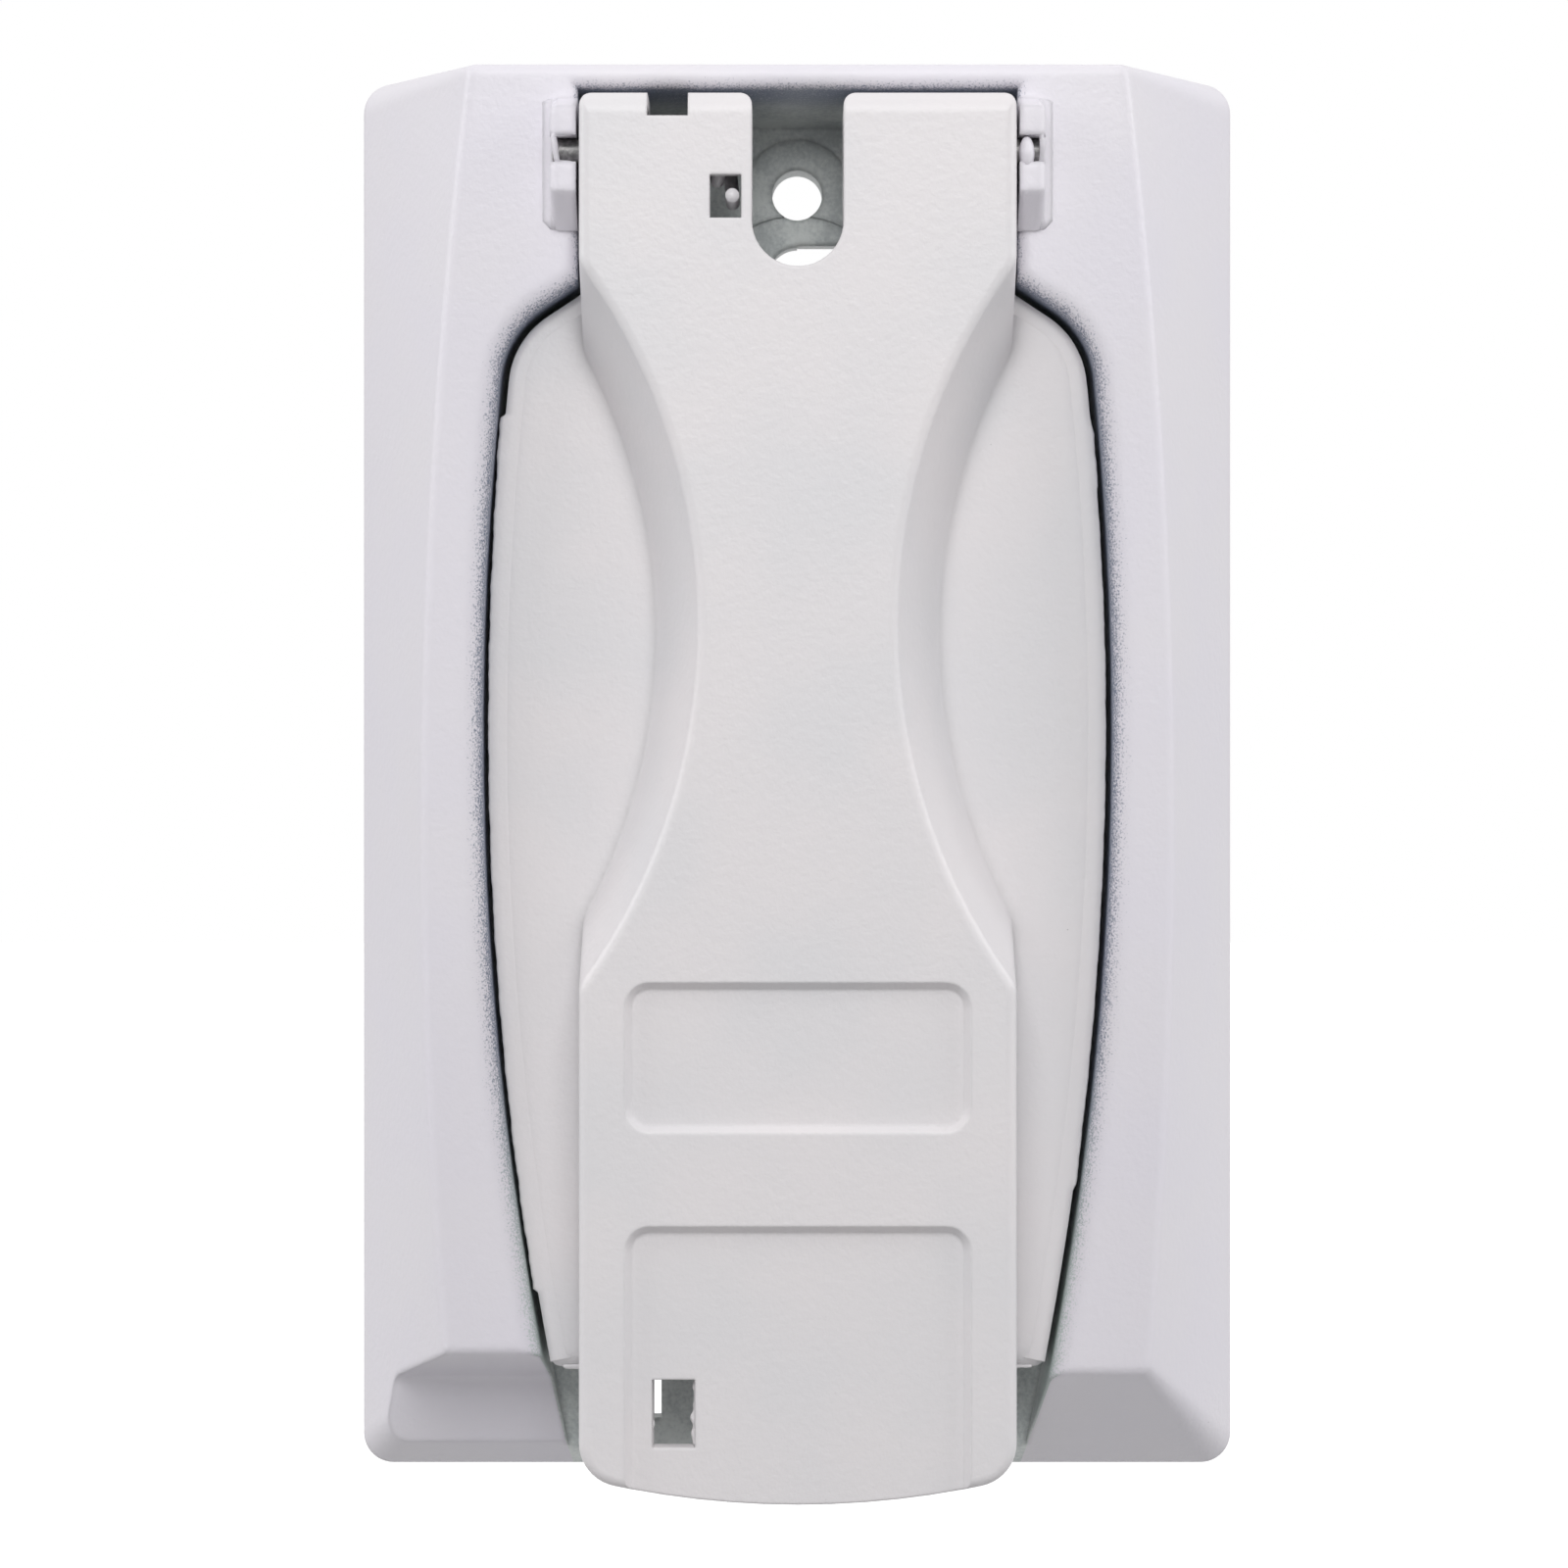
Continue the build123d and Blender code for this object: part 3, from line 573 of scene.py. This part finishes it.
# %% The path round the wing
def wing_edge(share):
    """Points and outward directions on the right edge, from the foot (0) to the spine (1):
    centre + radius * (cos angle, sin angle) on the arcs, then on along the straight run."""
    start = np.arctan2(*(FOOT_POINT - side_middle)[::-1])
    meet = np.arctan2(*(round_middle - side_middle)[::-1])
    leave = np.arctan2(run_out[1], run_out[0])
    lengths = np.array([side_radius * (meet - start), SHOULDER_RADIUS * (leave - meet), RUN_LENGTH])
    way = share * lengths.sum()
    on_side = np.clip(way / lengths[0], 0, 1) * (meet - start) + start
    on_round = np.clip((way - lengths[0]) / lengths[1], 0, 1) * (leave - meet) + meet
    on_run = np.clip(way - lengths[0] - lengths[1], 0, None)
    past_side = way > lengths[0]
    angle = np.where(past_side, on_round, on_side)
    out = np.stack([np.cos(angle), np.sin(angle)], axis=-1)
    middle = np.where(past_side[:, None], round_middle, side_middle)
    radius = np.where(past_side, SHOULDER_RADIUS, side_radius)
    return middle + out * radius[:, None] + on_run[:, None] * run_way, out


print("the edge runs from and to", wing_edge(np.array([0.0, 1.0]))[0].round(1).tolist())

# %% [markdown]
# A strip of flash stands out of an edge by a width that changes along the way: read at a few
# places, joined by straight lines, and made ragged by waves whose lengths have no common
# measure. Its section is a rounded lip with its root buried in the casting. A bump in the
# shader could hint at it, but only a strip of its own stands out of the edge and casts a shadow.

# %% Section and widths of the flash round the wing
LIP_OUT = np.array([-1.9, -1.7, -1.1, -0.6, 0.25, 0.8, 1.0, 0.9, 0.4, -0.3])
LIP_UP = np.array([-0.35, -0.02, 0.012, 0.012, -0.02, -0.12, -0.4, -0.75, -1.0, -1.1])
LIP_WAVES = 0.09
LIP_LEAST = 0.02
LIP_MOST = 0.5
LEFT_WIDTHS = {
    -48: 0.03, -42.3: 0.03, -42: 0.34, -20: 0.24, 5: 0.25,
    20: 0.3, 27.4: 0.44, 28.9: 0.5, 29.2: 0.03, 42: 0.02,
}
RIGHT_WIDTHS = {
    -48: 0.04, -34: 0.06, -33.5: 0.3, -31: 0.2, -10: 0.16, 10: 0.2,
    23: 0.16, 23.4: 0.3, 26: 0.22, 27.5: 0.3, 29: 0.08, 42: 0.03,
}
print("the flash is up to", max(*LEFT_WIDTHS.values(), *RIGHT_WIDTHS.values()), "mm wide")

# %% [markdown]
# The widths above are pairs of a place up the cover and a width there. Both sides use one
# function, and a seed shifts the waves, so that the two don't look alike.

# %% The flash round the wing
def ragged(way, size, seed):
    """Waves along a way: three sines with lengths in the ratio 1 : 0.47 : 0.21."""
    long_wave = np.sin(way / 0.9 + seed)
    return size * (long_wave + 0.7 * np.sin(way / 0.42 + 2 * seed) + 0.5 * np.sin(way / 0.19 + 3 * seed))


def wing_flash(name, side, widths, seed):
    """The lip along one side of the wing: edge + outward * lip * width, where the width is
    read at its place up the cover and multiplied by 1 + waves."""
    edge, out = wing_edge(np.linspace(0.005, 0.97, 900))
    way = np.cumsum(np.append(0, np.linalg.norm(np.diff(edge, axis=0), axis=1)))
    width = np.interp(edge[:, 1], list(widths), list(widths.values()))
    width = np.clip(width * (1 + ragged(way, LIP_WAVES, seed)), LIP_LEAST, LIP_MOST)
    lip_out = np.where(LIP_OUT > 0, LIP_OUT * width[:, None], LIP_OUT)
    plan = edge[:, None, :] + out[:, None, :] * lip_out[..., None]
    height = WING_FRONT + LIP_UP + np.zeros_like(lip_out)
    grid = np.stack([side * plan[..., 0], -height, plan[..., 1]], axis=-1)
    return skin(name, grid, flash_coat, "lid")


wing_flash("left_wing_flash", -1, LEFT_WIDTHS, seed=0.4)
wing_flash("right_wing_flash", 1, RIGHT_WIDTHS, seed=1.3)

# %% [markdown]
# The wing's foot and the sides of the lock slot carry smaller strips of flash. There the path
# is a straight line from one point to another, and the strip is a thin blade that runs out at
# both ends.

# %% The small blades of flash
BLADE_OUT = np.array([-0.4, 0.0, 0.6, 0.95, 1.0, 0.95, 0.6, 0.0, -0.4])
BLADE_UP = np.array([0.5, 0.5, 0.45, 0.2, 0.0, -0.2, -0.45, -0.5, -0.5])
BLADE_ROOT = 0.5
BLADE_WAVES = 0.42
BLADE_LEAST = 0.01
TAPER_POWER = 0.3


def blade(name, start, end, out, width, seed, height, thickness):
    """A ragged strip beside the line from start to end: it stands out by
    width * sin(pi * share)^power * (1 + waves), where share runs from 0 to 1."""
    share = np.linspace(0, 1, 160)
    start, end, out = (np.array(v, dtype=float) for v in (start, end, out))
    way = share * np.linalg.norm(end - start)
    reach = width * np.sin(np.pi * share) ** TAPER_POWER * (1 + ragged(way, BLADE_WAVES, seed))
    reach = np.clip(reach, BLADE_LEAST, None)
    blade_out = np.where(BLADE_OUT > 0, BLADE_OUT * reach[:, None], BLADE_OUT * BLADE_ROOT)
    line = start + share[:, None] * (end - start)
    plan = line[:, None, :] + out * blade_out[..., None]
    up = height + BLADE_UP * thickness + np.zeros_like(blade_out)
    grid = np.stack([plan[..., 0], -up, plan[..., 1]], axis=-1)
    return skin(name, grid, flash_coat, "lid")


AT_FOOT = {"height": 15.6, "thickness": 0.7}
IN_SLOT = {"height": 23.3, "thickness": 0.5}
blade("left_foot_flash", (-19.1, -48.4), (-17.3, -48.4), (0, -1), width=0.15, seed=0.2, **AT_FOOT)
blade("right_foot_flash", (19.1, -48.4), (17.3, -48.4), (0, -1), width=0.12, seed=2.2, **AT_FOOT)
blade("slot_flash_right", (-8.1, -53.7), (-8.1, -48.5), (-1, 0), width=0.38, seed=0.9, **IN_SLOT)
blade("slot_flash_left", (-11.7, -53.7), (-11.7, -50.6), (1, 0), width=0.22, seed=1.7, **IN_SLOT)

# %% [markdown]
# On the base, each ear stands on the raised face over a hollow rounding. The rounding is a
# quarter circle that shrinks with the ear's own height, so that it fades out at both ends.

# %% Rounding beside each ear
EAR_SIDE = 19.85
EAR_PLACES = [43.73, 46.53, 53.33, 54.43]
EAR_HEIGHTS = [0.0, 3.4, 3.4, 0.0]
ROOT_FROM = 43.85
ROOT_TO = 54.35
ROOT_MOST = 0.75
ROOT_PER_HEIGHT = 0.8
BURIED = 0.4


def ear_root(name, side):
    """A hollow quarter circle up the ear's length: radius * (1 - sin) away from the ear's side
    and radius * (1 - cos) above the raised face, closed by corners that are buried."""
    up = np.linspace(ROOT_FROM, ROOT_TO, 120)
    radius = np.minimum(ROOT_MOST, ROOT_PER_HEIGHT * np.interp(up, EAR_PLACES, EAR_HEIGHTS))[:, None]
    turn = np.linspace(0, np.pi / 2, 10)
    buried = np.full_like(radius, -BURIED)
    away = np.concatenate([radius * (1 - np.sin(turn)), buried, buried, radius], axis=1)
    above = np.concatenate([radius * (1 - np.cos(turn)), radius, buried, buried], axis=1)
    face_height = (PLATEAU + PLATEAU_RISE * (up * MM - PLATEAU_MIDDLE)) / MM
    out = side * (EAR_SIDE + away)
    grid = np.stack([out, -(face_height[:, None] + above), up[:, None] + 0 * away], axis=-1)
    return skin(name, grid, base_coat, "base")


ear_root("left_ear_root", -1)
ear_root("right_ear_root", 1)

# %% [markdown]
# The coat piles up in a bead round the open slot of each pin. The bead is a round wire bent at
# a few corners. To turn the corners into bends, each point of the line becomes the mean of its
# neighbours, with those nearest counting most.

# %% Rims of the pin slots
LEFT_SLOT = [(-18.0, 51.1), (-19.5, 51.1), (-19.55, 50.9), (-19.25, 48.85), (-18.0, 48.75)]
RIGHT_SLOT = [(18.9, 51.05), (19.5, 51.05), (19.6, 50.0), (19.45, 48.8), (18.9, 48.8)]
RIM_HEIGHT = 22.95
RIM_WAVES = 0.1
RIM_POINTS = 240
NEIGHBOURS = 20


def rim(name, corners, height, thickness, seed):
    """A round bead along a smoothed line: line + side * radius * cos(turn) in the plan and
    height + radius * sin(turn) off the wall, with the radius running out at both ends."""
    corners = np.array(corners)
    legs = np.append(0, np.cumsum(np.linalg.norm(np.diff(corners, axis=0), axis=1)))
    way = np.linspace(0, legs[-1], RIM_POINTS)
    weights = np.hanning(2 * NEIGHBOURS + 1)
    weights = weights / weights.sum()
    line = np.stack([np.interp(way, legs, corners[:, k]) for k in range(2)], axis=-1)
    padded = np.pad(line, ((NEIGHBOURS, NEIGHBOURS), (0, 0)), mode="reflect", reflect_type="odd")
    line = np.stack([np.convolve(padded[:, k], weights, mode="valid") for k in range(2)], axis=-1)
    ahead = np.gradient(line, axis=0)
    ahead /= np.linalg.norm(ahead, axis=1)[:, None]
    side = np.stack([-ahead[:, 1], ahead[:, 0]], axis=-1)
    taper = np.sin(np.pi * np.linspace(0.03, 0.97, RIM_POINTS)) ** TAPER_POWER
    radius = thickness * (1 + ragged(way, RIM_WAVES, seed)) * taper
    turn = np.linspace(0, 2 * np.pi, 14, endpoint=False)
    plan = line[:, None, :] + side[:, None, :] * (radius[:, None] * np.cos(turn))[..., None]
    up = height + radius[:, None] * np.sin(turn)
    grid = np.stack([plan[..., 0], -up, plan[..., 1]], axis=-1)
    return skin(name, grid, base_coat, "base")


rim("left_slot_rim", LEFT_SLOT, RIM_HEIGHT, thickness=0.26, seed=0.7)
rim("right_slot_rim", RIGHT_SLOT, RIM_HEIGHT, thickness=0.22, seed=2.1)

# %% [markdown]
# A blob, staked from the ear's own metal, holds the right pin in its slot. It is an ellipsoid
# whose half below the ear is buried: a circle at each height, as wide as sqrt(1 - height^2).

# %% The staked blob
BLOB_MIDDLE = np.array([18.33, -22.6, 49.6])
BLOB_HALF = np.array([0.62, 0.95, 1.35])
up = np.linspace(-0.999, 0.999, 40)[:, None]
turn = np.linspace(0, 2 * np.pi, 32, endpoint=False)
slim = np.sqrt(1 - up**2)
ball = np.stack([slim * np.cos(turn), slim * np.sin(turn), up + 0 * turn], axis=-1)
skin("right_pin_stake", BLOB_MIDDLE + BLOB_HALF * ball, base_coat, "base")

# %% [markdown]
# The closing spring winds up as the lid opens, which a rigid solid cannot show. So its wire is
# drawn again on the same line: a straight leg into the floor, a left-hand helix, and a leg bent
# round to the lid.

# %% The line of the spring's wire
COIL_RADIUS = 2.3
COIL_PITCH = 1.2
COIL_TURNS = 4.75
COIL_START = -11.25
SEAT_SHIFT = 0.066
SEAT_BACK = -4.3
SEAT_STOP = 0.8
LEAN = 0.083
LEG_DROP = 2.94
LEG_FRONT = -24.6
BEND_RADIUS = 1.0


def run(start, end, count, last=False):
    """Points on a straight run, start + share * (end - start), with or without its last point."""
    share = np.linspace(0, 1, count, endpoint=last)[:, None]
    return np.array(start) + share * (np.array(end) - np.array(start))


turn = np.linspace(0, 2 * np.pi * COIL_TURNS, 380)
coil = np.stack(
    [
        COIL_START + COIL_PITCH * turn / (2 * np.pi),
        axis_y / MM - COIL_RADIUS * np.sin(turn),
        axis_z / MM - COIL_RADIUS * np.cos(turn),
    ],
    axis=-1,
)
seat_x, seat_z = coil[0, 0] - SEAT_SHIFT, coil[0, 2]
seat_leg = run((seat_x, SEAT_BACK, seat_z), (seat_x, coil[0, 1] + SEAT_STOP, seat_z), 24)
drop = coil[-1] + np.array([LEAN, 0.0, -1.0]) * LEG_DROP
lid_drop = run(coil[-1] + (drop - coil[-1]) * 0.03, drop, 14)
bend = np.linspace(0, np.pi / 2, 14)
lid_bend = np.stack(
    [
        drop[0] + LEAN * bend / bend[-1],
        drop[1] - BEND_RADIUS + BEND_RADIUS * np.cos(bend),
        drop[2] - BEND_RADIUS * np.sin(bend),
    ],
    axis=-1,
)
leg_end = (lid_bend[-1, 0], LEG_FRONT, lid_bend[-1, 2])
lid_leg = run(lid_bend[-1] + [0.0, -0.1, 0.0], leg_end, 14, last=True)
wire = np.concatenate([seat_leg, coil, lid_drop, lid_bend, lid_leg])
print("wire of", len(wire), "points from", wire.min(axis=0).round(1), "to", wire.max(axis=0).round(1))

# %% [markdown]
# The wire is a circle carried along that line.

# %% The closing spring
WIRE_RADIUS = 0.56


def tube(path, radius, around=16):
    """Circles across a path: each is spanned by two directions at right angles to it, the
    cross product of the path and the hinge line, and that one's cross product with the path."""
    ahead = np.gradient(path, axis=0)
    ahead /= np.linalg.norm(ahead, axis=1)[:, None]
    first = np.cross(ahead, [1.0, 0.0, 0.0])
    first /= np.linalg.norm(first, axis=1)[:, None]
    second = np.cross(first, ahead)
    turn = np.linspace(0, 2 * np.pi, around, endpoint=False)
    ring = first[:, None, :] * np.cos(turn)[:, None] + second[:, None, :] * np.sin(turn)[:, None]
    return path[:, None, :] + radius * ring


spring = skin("wound_spring", tube(wire, WIRE_RADIUS), spring_wire, None)
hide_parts("closing_spring")
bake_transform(spring)

# %% [markdown]
# A construction piece keeps its mesh, and only its material slots change.

# %% Dress the construction pieces
FINISH = {
    "base_frame": base_coat,
    "flip_lid": lid_coat,
    "hinge_pin_left": pin_steel,
    "hinge_pin_right": pin_steel,
    "closing_spring": spring_wire,
    "box_gasket": foam,
}
for name, material in FINISH.items():
    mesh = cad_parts[name].data
    mesh.materials.clear()
    mesh.materials.append(material)
    print(name, "gets", material.name, "on", len(mesh.polygons), "faces")

# %% [markdown]
# The stage is a white world behind a wide pale floor. Both look white to the camera and to what
# mirrors or lets light through, and light the cover at a plain level. The Light Path node
# tells the kinds of rays apart.

# %% The world
ROOM_TINT = (1.0, 0.99, 1.0, 1)
ROOM_LIGHT = 0.45
WHITE = (1, 1, 1, 1)


def white_to_camera(tree, plain, white):
    """Mixes a shader with a white one that only camera, glossy and transmission rays meet."""
    rays = node(tree, "ShaderNodeLightPath").outputs
    seen = calc(tree, "MAXIMUM", rays["Is Camera Ray"], rays["Is Glossy Ray"])
    seen = calc(tree, "MAXIMUM", seen, rays["Is Transmission Ray"])
    return node(tree, "ShaderNodeMixShader", [(seen, 0), (plain, 1), (white, 2)]).outputs[0]


world = bpy.data.worlds.new("white_room")
bpy.context.scene.world = world
world.use_nodes = True
tree = world.node_tree
tree.nodes.clear()
room = node(tree, "ShaderNodeBackground", [(ROOM_TINT, "Color"), (ROOM_LIGHT, "Strength")])
white = node(tree, "ShaderNodeBackground", [(WHITE, "Color"), (1.0, "Strength")])
both_lights = white_to_camera(tree, room.outputs[0], white.outputs[0])
node(tree, "ShaderNodeOutputWorld", [(both_lights, "Surface")])
print("the world lights the cover at", ROOM_LIGHT)

# %% [markdown]
# The floor lies well below the cover, which hangs on no wall here. It is a middling grey to the
# light and glows white for the camera, and its matt part still takes the cover's shadow.

# %% The floor
FLOOR_DROP = 60 * MM
FLOOR_HALF = 3.0
FLOOR_GREY = (0.38, 0.38, 0.38, 1)

floor_mesh = bpy.data.meshes.new("floor")
floor_z = cad_low[2] - FLOOR_DROP
signs = ((-1, -1), (1, -1), (1, 1), (-1, 1))
corners = [(sx * FLOOR_HALF, sy * FLOOR_HALF, floor_z) for sx, sy in signs]
floor_mesh.from_pydata(corners, [], [(0, 1, 2, 3)])
floor = bpy.data.objects.new("floor", floor_mesh)
bpy.context.collection.objects.link(floor)
floor_paint = bpy.data.materials.new("floor_paint")
floor_paint.use_nodes = True
tree = floor_paint.node_tree
tree.nodes.clear()
matt = node(tree, "ShaderNodeBsdfDiffuse", [(FLOOR_GREY, "Color")])
glow = node(tree, "ShaderNodeEmission", [(WHITE, "Color"), (1.0, "Strength")])
both = node(tree, "ShaderNodeAddShader", [(matt.outputs[0], 0), (glow.outputs[0], 1)])
floor_surface = white_to_camera(tree, matt.outputs[0], both.outputs[0])
node(tree, "ShaderNodeOutputMaterial", [(floor_surface, "Surface")])
floor_mesh.materials.append(floor_paint)
print("floor", round(floor_z / MM, 1), "mm below the middle of the cover")

# %% [markdown]
# The lamps are wide, so their shadows are soft. One hangs above and in front, which leaves the
# faces that look down a little darker, as in the picture. A wider one on each side brings out
# the slopes of the base.

# %% Lamps
def lamp(name, place, side, watts):
    """A square area lamp at a place, turned to look at the cover."""
    data = bpy.data.lights.new(name, "AREA")
    data.shape = "SQUARE"
    data.size = side
    data.energy = watts
    made = bpy.data.objects.new(name, data)
    bpy.context.collection.objects.link(made)
    made.location = place
    made.rotation_euler = (-made.location).to_track_quat("-Z", "Y").to_euler()
    made.visible_camera = False
    print(name, "is", side, "m wide and gives", watts, "W")


lamp("front_lamp", (0.0, -0.42, 0.25), 0.25, 1.2)
lamp("left_lamp", (-0.6, -0.1, 0.3), 0.4, 1.7)
lamp("right_lamp", (0.6, -0.1, 0.3), 0.4, 1.7)

# %% [markdown]
# The camera stands straight in front, nearly level with the middle of the cover. Its distance
# and lens are those at which the pocket's walls show as much as they do in the picture.

# %% Camera
CAMERA_X = -1.1 * MM
CAMERA_Z = -0.9 * MM
CAMERA_DISTANCE = 0.390
PICTURE_WIDTH = 1600
PIXELS_PER_RADIAN = 4683
eye = bpy.data.cameras.new("camera")
eye.sensor_width = 36.0
eye.lens = PIXELS_PER_RADIAN / PICTURE_WIDTH * eye.sensor_width
eye.clip_start = 0.01
camera = bpy.data.objects.new("camera", eye)
bpy.context.collection.objects.link(camera)
camera.location = (CAMERA_X, -CAMERA_DISTANCE, CAMERA_Z)
camera.rotation_euler = (np.pi / 2, 0, 0)
bpy.context.scene.camera = camera
print("lens", round(eye.lens, 1), "mm")

# %% [markdown]
# Last, the view transform is set to Standard and the scene is brought up to date.

# %% View transform
bpy.context.scene.view_settings.view_transform = "Standard"
bpy.context.view_layer.update()
